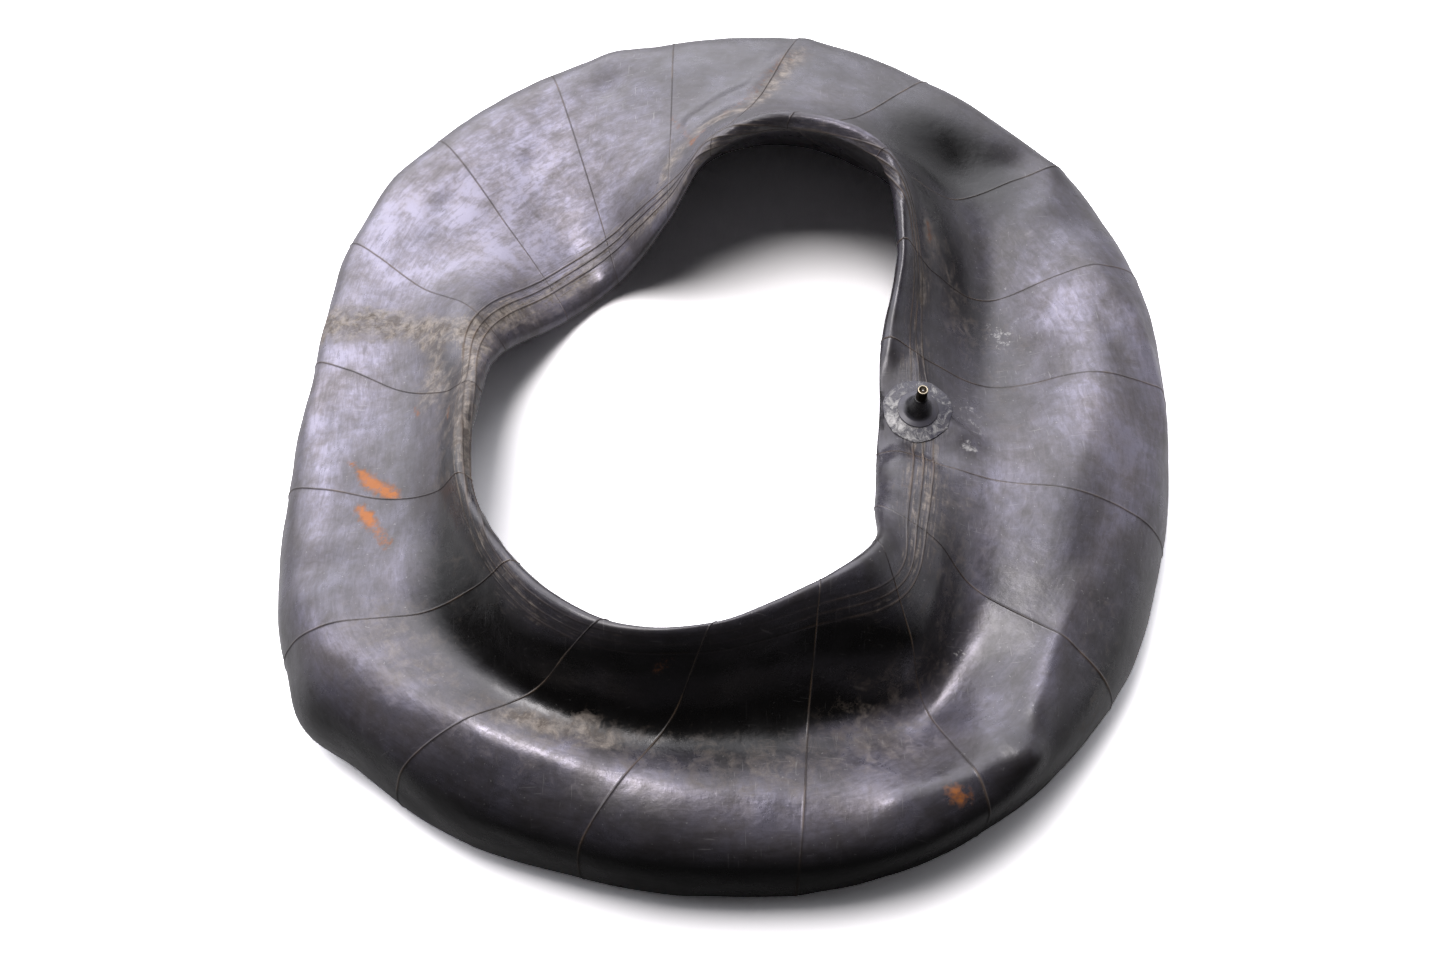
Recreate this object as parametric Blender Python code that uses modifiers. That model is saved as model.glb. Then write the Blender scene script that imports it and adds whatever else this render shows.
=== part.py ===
"""A heavy butyl inner tube, let down and lying on its side, with its rubber-covered air valve.

Lengths are written in millimetres and scaled to metres where they enter Blender. +Z is up, the
floor is z = 0 and the origin is the middle of the tube's plan.
"""
import math

import bmesh
import bpy
import numpy as np
from mathutils import Vector

MM = 0.001

# Tube: 18 mould lines cross the section, 20 degrees apart when the tube is inflated.
WALL = 2.6
CONTACT_OUTER = 26.0        # outer edge of the band that lies on the floor, in from the outline
FOOT = (4.0, 13.0)          # lower outer wall: in from the outline, height
WIDEST_HEIGHT = 34.0
FAR_BULGE = 8.0             # how far the far side swells out below its outline
SLANT_IN, SLANT_UP = 0.34, 0.56             # slanting outer wall, as a share of the way to the shoulder
SQUARE_IN, SQUARE_UP = 0.10, 0.88           # the same where the wall stands up squarely
RIM_BACK, RIM_CROWN = 6.0, 2.0
NOSE_DROP = 7.0
LIP_BACK, LIP_DROP = 9.0, 15.0
UNDER_IN, UNDER_DROP = 8.0, 32.0            # underside below the rim wall's foot, near the front
FAR_UNDER_IN, FAR_UNDER_DROP = -14.0, 40.0  # the same at the far side, where it is drawn back

# One row for each mould line, anticlockwise from the left. Outline x, y; rim x, y, z; then the
# shoulder, the valley and the foot of the rim wall as distance in from the outline and height;
# where the tube lifts off the floor, in from the outline; and how squarely the outer wall stands,
# from 0 slanting to 1 upright.
STATIONS = np.array([
    (-336, -108, -177, -156, 150, 38, 74, 92, 86, 138, 118, 62, 0.30),
    (-315, -241, -137, -224, 160, 46, 96, 106, 99, 148, 131, 64, 0.15),
    (-225, -336, -79, -266, 165, 60, 110, 104, 106, 133, 143, 60, 0.25),
    (-101, -385, -13, -266, 165, 60, 104, 95, 96, 120, 134, 56, 0.60),
    (37, -395, 51, -235, 160, 56, 95, 98, 84, 128, 124, 56, 0.70),
    (159, -358, 88, -203, 150, 24, 87, 84, 62, 116, 114, 54, 0.80),
    (257, -270, 93, -160, 122, 46, 87, 116, 86, 150, 120, 60, 0.10),
    (313, -153, 102, -99, 95, 74, 97, 134, 88, 186, 98, 66, 0.20),
    (337, -29, 109, -5, 105, 62, 84, 142, 55, 194, 82, 66, 0.40),
    (334, 96, 122, 65, 135, 52, 77, 130, 48, 180, 92, 60, 0.38),
    (291, 219, 109, 132, 160, 56, 68, 118, 72, 168, 122, 60, 0.38),
    (181, 323, 40, 156, 170, 54, 84, 120, 104, 178, 142, 62, 0.38),
    (67, 384, -20, 137, 160, 58, 86, 136, 104, 206, 136, 70, 0.38),
    (-55, 383, -54, 123, 100, 60, 78, 140, 86, 214, 104, 96, 0.38),
    (-169, 352, -99, 119, 28, 46, 56, 116, 54, 196, 42, 150, 0.38),
    (-263, 266, -139, 81, 25, 44, 54, 112, 46, 180, 36, 140, 0.38),
    (-324, 142, -178, 11, 75, 42, 60, 96, 64, 158, 90, 80, 0.38),
    (-336, 15, -183, -66, 125, 40, 64, 90, 68, 138, 98, 66, 0.40),
], dtype=float)
# Corners where the slack skin is pushed out: mould line and section corner, how far each fades, and
# the push.
SLACK_CORNERS = (
    (1.36, 2.6, 0.30, 1.1, 9.0),
    (10.45, 3.0, 0.40, 1.1, 6.0),
    (15.45, 2.8, 0.40, 1.1, 6.0),
    (13.50, 3.0, 0.30, 1.1, 5.0),
)
COLUMNS_PER_STATION = 3
VALVE_COLUMNS = (7.0, 8.0, 8)                       # from, to, count: finer where the valve sits
ROWS_PER_STRETCH = (1, 2, 1, 2, 3, 3, 4, 2, 1, 2, 3, 1)

# Valve: seat on the tube, direction of the stem, then heights above the seat and radii.
VALVE_SEAT = (133.0, -63.0, 92.0)
VALVE_AXIS = (-0.01, -0.13, 0.99)
SEAT_FLAT, SEAT_FADE, SEAT_DEPTH = 34.0, 62.0, 16.0
GAP = 0.3
CORE_GAP = 0.15
MERGE = 0.01
AIR_HOLE, DRILL_TOP, DRILL_FOOT = 2.4, 3.0, -7.8
PATCH_R, PATCH_EDGE_R, PATCH_CROWN_R = 26.0, 24.8, 17.0
PATCH_EDGE, PATCH_T = 0.8, 2.4
FLANGE_R, FLANGE_CROWN_R = 15.0, 11.0
FLANGE_EDGE, FLANGE_CROWN = 0.6, 2.0
STEM_FOOT_R, STEM_FOOT_Z = 8.2, 7.5
STEM_WAIST_R, STEM_WAIST_Z = 6.0, 11.5
STEM_TOP_R, STEM_TOP_Z, STEM_ROUND = 4.9, 21.0, 0.7
INSERT_R, INSERT_FOOT = 3.0, 4.2
THREAD_R, THREAD_FOOT, MOUTH, MOUTH_CHAMFER = 3.85, 21.3, 33.0, 0.4
BORE_TOP_R, BORE_R = 2.75, 2.0
TAPER_TOP, TAPER_FOOT = 24.6, 22.6
SWIVEL_R, SWIVEL_FOOT, SWIVEL_SHOULDER, SWIVEL_TOP = 2.45, 27.4, 30.2, 32.2
SWIVEL_NECK_R, SWIVEL_FLATS, SWIVEL_HOLE = 2.1, 2.7, 0.75
BARREL_R, BARREL_BORE, BARREL_FOOT, BARREL_LEDGE = 1.6, 1.2, 16.8, 18.0
PIN_R, PIN_TIP_R, PIN_TOP, PIN_CHAMFER, PIN_FOOT = 0.55, 0.44, 32.0, 0.2, 14.75
COLLAR_R, COLLAR_FOOT, COLLAR_TOP = 1.0, 26.2, 26.8
GASKET_FOOT, GASKET_WAIST, GASKET_TOP = 23.0, 24.6, 25.4
GASKET_FOOT_R, GASKET_R = 1.95, 2.4
CUP_R, CUP_FOOT, CUP_FLOOR, CUP_TOP, CUP_CHAMFER = 1.65, 13.8, 14.6, 16.2, 0.4
SEAL_R, SEAL_TOP = 1.3, 16.6
SPRING_WIRE, SPRING_R, SPRING_TURNS, POINTS_PER_TURN, HALF_TURN = 0.15, 0.85, 8, 10, 0.5
ROUND_STEPS = 32
CORE_STEPS = 20


def ring_spline(values, where):
    """Smooth closed curve through the rows of values, read at the places where (in rows)."""
    before = np.floor(where).astype(int)
    t = (where - before)[:, None]
    a, b, c, d = (values[(before + step) % len(values)] for step in (-1, 0, 1, 2))
    return 0.5 * (2 * b + (c - a) * t + (2 * a - 5 * b + 4 * c - d) * t**2
                  + (3 * b - a - 3 * c + d) * t**3)


def section_corners(stations):
    """The twelve points each section passes through, as distance in from the outline and height."""
    ox, oy, rx, ry, rim, s_in, shoulder, v_in, valley, w_in, wall, lift, square = stations.T
    reach = np.hypot(rx - ox, ry - oy)
    far = np.clip(oy / np.hypot(ox, oy), 0, 1)
    wall_in = SLANT_IN + (SQUARE_IN - SLANT_IN) * square
    wall_up = SLANT_UP + (SQUARE_UP - SLANT_UP) * square
    under_in = UNDER_IN + (FAR_UNDER_IN - UNDER_IN) * far
    under_drop = UNDER_DROP + (FAR_UNDER_DROP - UNDER_DROP) * far
    flat = np.zeros_like(reach)
    corners = [
        (flat + CONTACT_OUTER, flat),
        (flat + FOOT[0], flat + FOOT[1]),
        (-FAR_BULGE * far, flat + WIDEST_HEIGHT),
        (wall_in * s_in, WIDEST_HEIGHT + wall_up * (shoulder - WIDEST_HEIGHT)),
        (s_in, shoulder),
        (v_in, valley),
        (w_in, wall),
        (reach - RIM_BACK, rim + RIM_CROWN),
        (reach, rim - NOSE_DROP),
        (reach - LIP_BACK, rim - LIP_DROP),
        (w_in + under_in, wall - under_drop),
        (lift, flat),
    ]
    return np.stack([np.stack(corner, -1) for corner in corners], 1), reach


def closed_loop(corners, where):
    """Closed spline through each section's corners, with knots spaced by the root of their distance."""
    span = np.sqrt(np.linalg.norm(np.roll(corners, -1, 1) - corners, axis=2))[..., None]
    slope = (np.roll(corners, -1, 1) - corners) / span
    span_before, slope_before = np.roll(span, 1, 1), np.roll(slope, 1, 1)
    tangent = (span_before * slope + span * slope_before) / (span_before + span)
    here = np.floor(where).astype(int) % corners.shape[1]
    after = (here + 1) % corners.shape[1]
    t = (where - np.floor(where))[None, :, None]
    return (corners[:, here] * (2 * t**3 - 3 * t**2 + 1) + corners[:, after] * (3 * t**2 - 2 * t**3)
            + span[:, here] * (tangent[:, here] * (t**3 - 2 * t**2 + t)
                               + tangent[:, after] * (t**3 - t**2)))


def fade(distance, full, none):
    """1 up to full, 0 from none on, smooth between."""
    t = np.clip((none - distance) / (none - full), 0, 1)
    return t * t * (3 - 2 * t)


def flatten_valve_seat(points):
    """Press the skin round the valve to the plane that the valve stands on."""
    axis = np.array(Vector(VALVE_AXIS).normalized())
    offset = points - np.array(VALVE_SEAT)
    height = offset @ axis
    radius = np.linalg.norm(offset - height[..., None] * axis, axis=-1)
    share = fade(radius, SEAT_FLAT, SEAT_FADE) * fade(np.abs(height), SEAT_DEPTH / 2, SEAT_DEPTH)
    return points - (share * height)[..., None] * axis


def slack_push(around, across):
    """How far the slack corners push the skin out, as a sum of round swellings."""
    push = np.zeros(np.broadcast_shapes(around.shape, across.shape))
    for line, corner, line_fade, corner_fade, amount in SLACK_CORNERS:
        push += amount * np.exp(-((around - line) / line_fade)**2 - ((across - corner) / corner_fade)**2)
    return push


def tube_surface(around, across):
    """Outer skin: around counts mould lines, across counts section corners. Clipped at the floor."""
    stations = ring_spline(STATIONS, around)
    corners, reach = section_corners(stations)
    profile = closed_loop(corners, across)
    profile[..., 0] -= slack_push(around[:, None], across[None, :])
    outline, rim = stations[:, None, 0:2], stations[:, None, 2:4]
    plan = outline + (rim - outline) / reach[:, None, None] * profile[..., :1]
    points = np.concatenate([plan, np.maximum(profile[..., 1:], 0)], -1)
    return flatten_valve_seat(points)


def clear_scene():
    for thing in list(bpy.data.objects):
        bpy.data.objects.remove(thing, do_unlink=True)


def new_collection(name):
    collection = bpy.data.collections.new(name)
    bpy.context.scene.collection.children.link(collection)
    return collection


def material(name, colour, roughness, metallic=0.0):
    made = bpy.data.materials.new(name)
    made.use_nodes = True
    shader = made.node_tree.nodes["Principled BSDF"]
    shader.inputs["Base Color"].default_value = (*colour, 1)
    shader.inputs["Roughness"].default_value = roughness
    shader.inputs["Metallic"].default_value = metallic
    return made


def place(name, data, collection, finish, parent=None):
    made = bpy.data.objects.new(name, data)
    collection.objects.link(made)
    made.parent = parent
    if finish:
        data.materials.append(finish)
    return made


def turned(name, profile, collection, finish, parent, steps=CORE_STEPS, closed=True):
    """Turn a profile of radius and height, in mm, round the valve axis. It runs down its outer side."""
    mesh = bpy.data.meshes.new(name)
    count = len(profile)
    edges = [(i, (i + 1) % count) for i in range(count if closed else count - 1)]
    mesh.from_pydata([(r * MM, 0, z * MM) for r, z in profile], edges, [])
    made = place(name, mesh, collection, finish, parent)
    screw = made.modifiers.new("Turn", "SCREW")
    screw.steps = screw.render_steps = steps
    screw.use_merge_vertices = True
    screw.merge_threshold = MERGE * MM
    screw.use_smooth_shade = True
    return made


def cut(made, cutter):
    cutter.hide_render = True
    cutter.display_type = "WIRE"
    boolean = made.modifiers.new("Cut", "BOOLEAN")
    boolean.object = cutter
    boolean.operation = "DIFFERENCE"


def tube_body(collection, cutters, finish, valve):
    """The moulded skin as a loft through the mould-line sections, with its wall inwards."""
    even = np.arange(len(STATIONS) * COLUMNS_PER_STATION) / COLUMNS_PER_STATION
    start, end, count = VALVE_COLUMNS
    around = np.union1d(even[(even < start) | (even > end)], np.linspace(start, end, count + 1))
    across = np.concatenate([i + np.arange(n) / n for i, n in enumerate(ROWS_PER_STRETCH)])
    points = tube_surface(around, across) * MM
    columns, rows = points.shape[:2]
    index = np.arange(columns * rows).reshape(columns, rows)
    ahead, up = np.roll(index, -1, 0), np.roll(index, -1, 1)
    faces = np.stack([index, ahead, np.roll(ahead, -1, 1), up], -1).reshape(-1, 4)
    mesh = bpy.data.meshes.new("tube_body")
    mesh.from_pydata(points.reshape(-1, 3).tolist(), [], faces.tolist())
    skin = bmesh.new()
    skin.from_mesh(mesh)
    bmesh.ops.recalc_face_normals(skin, faces=skin.faces)
    skin.to_mesh(mesh)
    skin.free()
    mesh.shade_smooth()
    body = place("tube_body", mesh, collection, finish)
    wall = body.modifiers.new("Wall", "SOLIDIFY")
    wall.thickness = WALL * MM
    wall.offset = -1
    drill = turned("air_hole_cutter", [(AIR_HOLE, DRILL_TOP), (AIR_HOLE, DRILL_FOOT), (0, DRILL_FOOT),
                                       (0, DRILL_TOP)], cutters, None, valve)
    cut(body, drill)


def base_patch(collection, finish, valve):
    foot, edge, crown = GAP, GAP + PATCH_EDGE, GAP + PATCH_T
    hole = AIR_HOLE + GAP
    turned("base_patch", [(hole, crown), (PATCH_CROWN_R, crown), (PATCH_EDGE_R, edge), (PATCH_R, foot),
                          (hole, foot)], collection, finish, valve, ROUND_STEPS)


def valve_stem(collection, finish, valve):
    """Rubber flange and tapered stem, moulded over the brass insert, with a step under it."""
    foot = 2 * GAP + PATCH_T
    hole, bore = AIR_HOLE + GAP, INSERT_R + GAP
    turned("valve_stem", [(bore, STEM_TOP_Z), (STEM_TOP_R - STEM_ROUND, STEM_TOP_Z),
                          (STEM_TOP_R, STEM_TOP_Z - STEM_ROUND), (STEM_WAIST_R, STEM_WAIST_Z),
                          (STEM_FOOT_R, STEM_FOOT_Z), (FLANGE_CROWN_R, foot + FLANGE_CROWN),
                          (FLANGE_R, foot + FLANGE_EDGE), (FLANGE_R, foot), (hole, foot),
                          (hole, INSERT_FOOT - GAP), (bore, INSERT_FOOT - GAP)],
           collection, finish, valve, ROUND_STEPS)


def stem_insert(collection, finish, valve):
    """Brass tube: threaded end outside, tapered seat for the core inside, grip below in the rubber."""
    turned("stem_insert", [(BORE_TOP_R, MOUTH), (THREAD_R - MOUTH_CHAMFER, MOUTH),
                           (THREAD_R, MOUTH - MOUTH_CHAMFER), (THREAD_R, THREAD_FOOT),
                           (INSERT_R, THREAD_FOOT), (INSERT_R, INSERT_FOOT), (BORE_R, INSERT_FOOT),
                           (BORE_R, TAPER_FOOT), (BORE_TOP_R, TAPER_TOP)],
           collection, finish, valve, ROUND_STEPS)


def core_swivel(collection, cutters, finish, valve):
    """Threaded collar of the core, with two flats for the key."""
    swivel = turned("core_swivel", [(SWIVEL_HOLE, SWIVEL_TOP), (SWIVEL_NECK_R, SWIVEL_TOP),
                                    (SWIVEL_NECK_R, SWIVEL_SHOULDER), (SWIVEL_R, SWIVEL_SHOULDER),
                                    (SWIVEL_R, SWIVEL_FOOT), (SWIVEL_HOLE, SWIVEL_FOOT)],
                    collection, finish, valve)
    side = SWIVEL_R * 2
    for sign in (-1, 1):
        mesh = bpy.data.meshes.new("flat_cutter")
        shape = bmesh.new()
        bmesh.ops.create_cube(shape, size=side * MM)
        shape.to_mesh(mesh)
        shape.free()
        block = place("flat_cutter", mesh, cutters, None, valve)
        block.location = Vector((sign * (SWIVEL_FLATS + side) / 2, 0, SWIVEL_SHOULDER + GAP + side / 2)) * MM
        cut(swivel, block)


def core_pieces(collection, brass, steel, rubber, valve):
    """Barrel, its gasket, and the pin with its collar, cup and seal."""
    top = SWIVEL_FOOT - CORE_GAP
    ledge_hole = PIN_R + 2 * CORE_GAP
    turned("core_barrel", [(BARREL_BORE, top), (BARREL_R, top), (BARREL_R, BARREL_FOOT),
                           (ledge_hole, BARREL_FOOT), (ledge_hole, BARREL_LEDGE),
                           (BARREL_BORE, BARREL_LEDGE)], collection, brass, valve)
    sleeve = BARREL_R + CORE_GAP
    turned("barrel_gasket", [(sleeve, GASKET_TOP), (GASKET_R, GASKET_TOP), (GASKET_R, GASKET_WAIST),
                             (GASKET_FOOT_R, GASKET_FOOT), (sleeve, GASKET_FOOT)],
           collection, rubber, valve)
    turned("core_pin", [(0, PIN_TOP), (PIN_TIP_R, PIN_TOP), (PIN_R, PIN_TOP - PIN_CHAMFER),
                        (PIN_R, COLLAR_TOP), (COLLAR_R, COLLAR_TOP), (COLLAR_R, COLLAR_FOOT),
                        (PIN_R, COLLAR_FOOT), (PIN_R, PIN_FOOT), (0, PIN_FOOT)],
           collection, steel, valve, closed=False)
    seat = SEAL_R + CORE_GAP
    turned("plunger_cup", [(seat, CUP_TOP), (CUP_R, CUP_TOP), (CUP_R, CUP_FOOT + CUP_CHAMFER),
                           (CUP_R - CUP_CHAMFER, CUP_FOOT), (0, CUP_FOOT), (0, CUP_FLOOR), (seat, CUP_FLOOR)],
           collection, brass, valve)
    turned("plunger_seal", [(PIN_R + CORE_GAP, SEAL_TOP), (SEAL_R, SEAL_TOP),
                            (SEAL_R, CUP_FLOOR + CORE_GAP), (PIN_R + CORE_GAP, CUP_FLOOR + CORE_GAP)],
           collection, rubber, valve)


def core_spring(collection, finish, valve):
    """One unbroken coil between the barrel's ledge and the pin's collar."""
    foot = BARREL_LEDGE + CORE_GAP + SPRING_WIRE
    rise = COLLAR_FOOT - CORE_GAP - SPRING_WIRE - foot
    turn = np.linspace(0, SPRING_TURNS, SPRING_TURNS * POINTS_PER_TURN + 1)
    angle = 2 * math.pi * turn
    height = foot + rise * turn / SPRING_TURNS
    path = np.stack([SPRING_R * np.cos(angle), SPRING_R * np.sin(angle), height], -1)
    apart = np.abs(turn[:, None] - turn[None, :]) > HALF_TURN
    distance = np.linalg.norm(path[:, None] - path[None, :], axis=2)
    print("core_spring: least gap to itself %.2f mm" % (distance[apart].min() - 2 * SPRING_WIRE))
    curve = bpy.data.curves.new("core_spring", "CURVE")
    curve.dimensions = "3D"
    curve.bevel_depth = SPRING_WIRE * MM
    curve.bevel_resolution = 1
    curve.use_fill_caps = True
    spline = curve.splines.new("POLY")
    spline.points.add(len(path) - 1)
    spline.points.foreach_set("co", np.column_stack([path * MM, np.ones(len(path))]).ravel())
    place("core_spring", curve, collection, finish, valve)


def main():
    clear_scene()
    parts = new_collection("inner_tube")
    cutters = new_collection("cutters")
    valve = bpy.data.objects.new("valve_axis", None)
    parts.objects.link(valve)
    valve.location = Vector(VALVE_SEAT) * MM
    valve.rotation_mode = "QUATERNION"
    valve.rotation_quaternion = Vector(VALVE_AXIS).to_track_quat("Z", "Y")
    butyl = material("butyl_skin", (0.055, 0.055, 0.058), 0.42)
    patch_rubber = material("patch_rubber", (0.16, 0.16, 0.155), 0.75)
    stem_rubber = material("stem_rubber", (0.02, 0.02, 0.021), 0.4)
    brass = material("stem_brass", (0.55, 0.42, 0.22), 0.35, 1.0)
    core_brass = material("core_brass", (0.62, 0.5, 0.28), 0.3, 1.0)
    steel = material("pin_steel", (0.6, 0.6, 0.58), 0.3, 1.0)
    seal = material("core_seal", (0.03, 0.03, 0.03), 0.6)
    tube_body(parts, cutters, butyl, valve)
    base_patch(parts, patch_rubber, valve)
    valve_stem(parts, stem_rubber, valve)
    stem_insert(parts, brass, valve)
    core_swivel(parts, cutters, core_brass, valve)
    core_pieces(parts, core_brass, steel, seal, valve)
    core_spring(parts, steel, valve)


main()
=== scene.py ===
"""The looks of a used butyl inner tube that lies let down on a white studio floor."""
import math

import bpy
import numpy as np
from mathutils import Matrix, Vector


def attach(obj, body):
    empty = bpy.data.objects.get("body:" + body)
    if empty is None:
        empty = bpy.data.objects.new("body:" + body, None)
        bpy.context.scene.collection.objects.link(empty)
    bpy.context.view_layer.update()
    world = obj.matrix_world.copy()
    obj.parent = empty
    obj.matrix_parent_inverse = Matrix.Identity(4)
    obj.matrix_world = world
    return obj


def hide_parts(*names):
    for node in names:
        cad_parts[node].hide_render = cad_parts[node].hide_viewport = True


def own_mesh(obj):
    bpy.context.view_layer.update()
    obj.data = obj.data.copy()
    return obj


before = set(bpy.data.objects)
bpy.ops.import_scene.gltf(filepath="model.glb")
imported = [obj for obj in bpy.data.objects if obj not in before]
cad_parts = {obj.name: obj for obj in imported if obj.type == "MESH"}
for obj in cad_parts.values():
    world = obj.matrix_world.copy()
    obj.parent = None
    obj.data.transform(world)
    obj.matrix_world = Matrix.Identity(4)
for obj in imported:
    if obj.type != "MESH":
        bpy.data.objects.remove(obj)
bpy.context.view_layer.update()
scene = bpy.context.scene
scene.view_settings.view_transform = "Standard"
MM = 0.001

# Viewpoint
# The camera stands in front of the tube and looks steeply down into its opening, from about 0.9 m
# above the floor.
CAMERA_PLACE = (-0.010, -0.620, 0.890)
CAMERA_DOWN = math.radians(58)
CAMERA_LENS = 33.0
camera = bpy.data.objects.new("camera", bpy.data.cameras.new("camera"))
scene.collection.objects.link(camera)
camera.location = CAMERA_PLACE
camera.rotation_euler = (math.pi / 2 - CAMERA_DOWN, 0, 0)
camera.data.lens = CAMERA_LENS
camera.data.sensor_width = 36
scene.camera = camera

# Studio
# A white floor that runs out past the picture, a soft lamp overhead on the left, and a dark room
# with two wide glows, behind on the left and low on the right, that give the rubber its sheen.
# In front of the tube the floor is darkened for bounced light though it still looks white, as painted
# shade on the tube's front.
LAMP_PLACE, LAMP_AIM = Vector((-0.34, 0.0, 1.95)), Vector((0, 0, 0))
LAMP_SIZE, LAMP_POWER, LAMP_COLOUR = 0.7, 17, (1.0, 0.96, 0.97)
FLOOR_HALF, FLOOR_LEVEL = 12.0, -0.0002
FLOOR_WHITE, FLOOR_SHINE, FLOOR_SEEN = 0.5, 0.6, 2.4
FRONT_SHADE_EDGE, FRONT_SHADE_DARK = (-0.44, -0.20), 0.05
ROOM_GLOWS = [
    # the way to the middle of each glow, how near a direction must come to it, and its level
    ((-0.40, 0.75, 0.53), (0.40, 1.0), 2.8),
    ((0.86, 0.50, 0.10), (0.55, 1.0), 0.6),
]
ROOM_DARK, BACKDROP_SEEN = 0.01, 1.1
GLOW_COLOUR = (0.95, 0.94, 1.0, 1)

overhead_lamp = bpy.data.objects.new("overhead_lamp", bpy.data.lights.new("overhead_lamp", "AREA"))
scene.collection.objects.link(overhead_lamp)
overhead_lamp.location = LAMP_PLACE
overhead_lamp.rotation_euler = (LAMP_AIM - LAMP_PLACE).to_track_quat("-Z", "Y").to_euler()
overhead_lamp.data.size = LAMP_SIZE
overhead_lamp.data.energy = LAMP_POWER
overhead_lamp.data.color = LAMP_COLOUR

room = bpy.data.worlds.new("room")
room.use_nodes = True
scene.world = room
room_tree = room.node_tree
room_way = room_tree.nodes.new("ShaderNodeTexCoord")
room_sum = room_tree.nodes.new("ShaderNodeMath")
for place, (way, reach, level) in enumerate(ROOM_GLOWS):
    room_turn = room_tree.nodes.new("ShaderNodeVectorMath")
    room_turn.operation = "DOT_PRODUCT"
    room_turn.inputs[1].default_value = way
    room_glow = room_tree.nodes.new("ShaderNodeMapRange")
    room_glow.interpolation_type = "SMOOTHSTEP"
    for socket, value in zip(("From Min", "From Max", "To Min", "To Max"), (*reach, ROOM_DARK, level)):
        room_glow.inputs[socket].default_value = value
    room_tree.links.new(room_way.outputs["Generated"], room_turn.inputs[0])
    room_tree.links.new(room_turn.outputs["Value"], room_glow.inputs["Value"])
    room_tree.links.new(room_glow.outputs[0], room_sum.inputs[place])
room_ray = room_tree.nodes.new("ShaderNodeLightPath")
room_tone = room_tree.nodes.new("ShaderNodeMix")
room_tone.inputs["B"].default_value = BACKDROP_SEEN
room_back = room_tree.nodes["Background"]
room_back.inputs["Color"].default_value = GLOW_COLOUR
room_tree.links.new(room_sum.outputs[0], room_tone.inputs["A"])
room_tree.links.new(room_ray.outputs["Is Camera Ray"], room_tone.inputs["Factor"])
room_tree.links.new(room_tone.outputs[0], room_back.inputs["Strength"])

floor_mesh = bpy.data.meshes.new("floor")
floor_corners = [(-FLOOR_HALF, -FLOOR_HALF), (FLOOR_HALF, -FLOOR_HALF), (FLOOR_HALF, FLOOR_HALF),
                 (-FLOOR_HALF, FLOOR_HALF)]
floor_mesh.from_pydata([(x, y, FLOOR_LEVEL) for x, y in floor_corners], [], [(0, 1, 2, 3)])
floor = bpy.data.objects.new("floor", floor_mesh)
scene.collection.objects.link(floor)
floor_paint = bpy.data.materials.new("floor_paint")
floor_paint.use_nodes = True
floor_tree = floor_paint.node_tree
floor_tree.nodes.remove(floor_tree.nodes["Principled BSDF"])
floor_ray = floor_tree.nodes.new("ShaderNodeLightPath")
floor_place = floor_tree.nodes.new("ShaderNodeTexCoord")
floor_split = floor_tree.nodes.new("ShaderNodeSeparateXYZ")
# Darker floor for bounced light in front: painted shade on the tube's front.
floor_edge = floor_tree.nodes.new("ShaderNodeMapRange")
for socket, value in zip(("From Min", "From Max", "To Min", "To Max"), (*FRONT_SHADE_EDGE, FRONT_SHADE_DARK, 1.0)):
    floor_edge.inputs[socket].default_value = value
floor_bounce = floor_tree.nodes.new("ShaderNodeMapRange")
floor_bounce.inputs["To Min"].default_value = FLOOR_WHITE
floor_bounce.inputs["To Max"].default_value = FLOOR_SHINE
floor_share = floor_tree.nodes.new("ShaderNodeMath")
floor_share.operation = "MULTIPLY"
floor_tone = floor_tree.nodes.new("ShaderNodeMix")
floor_tone.inputs["B"].default_value = FLOOR_SEEN
floor_cover = floor_tree.nodes.new("ShaderNodeBsdfDiffuse")
floor_tree.links.new(floor_place.outputs["Object"], floor_split.inputs[0])
floor_tree.links.new(floor_split.outputs["Y"], floor_edge.inputs["Value"])
floor_tree.links.new(floor_ray.outputs["Is Glossy Ray"], floor_bounce.inputs["Value"])
floor_tree.links.new(floor_bounce.outputs[0], floor_share.inputs[0])
floor_tree.links.new(floor_edge.outputs[0], floor_share.inputs[1])
floor_tree.links.new(floor_share.outputs[0], floor_tone.inputs["A"])
floor_tree.links.new(floor_ray.outputs["Is Camera Ray"], floor_tone.inputs["Factor"])
floor_tree.links.new(floor_tone.outputs[0], floor_cover.inputs["Color"])
floor_tree.links.new(floor_cover.outputs[0], floor_tree.nodes["Material Output"].inputs["Surface"])
floor_mesh.materials.append(floor_paint)

# Tube skin
# The moulded butyl ring, cured over a former: eighteen fine mould lines cross it and three ridges
# run along its rim side. It lies slack, so its outer shoulder is puffed up, a valley runs inside
# that, and the rim side stands up round the opening.

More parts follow.
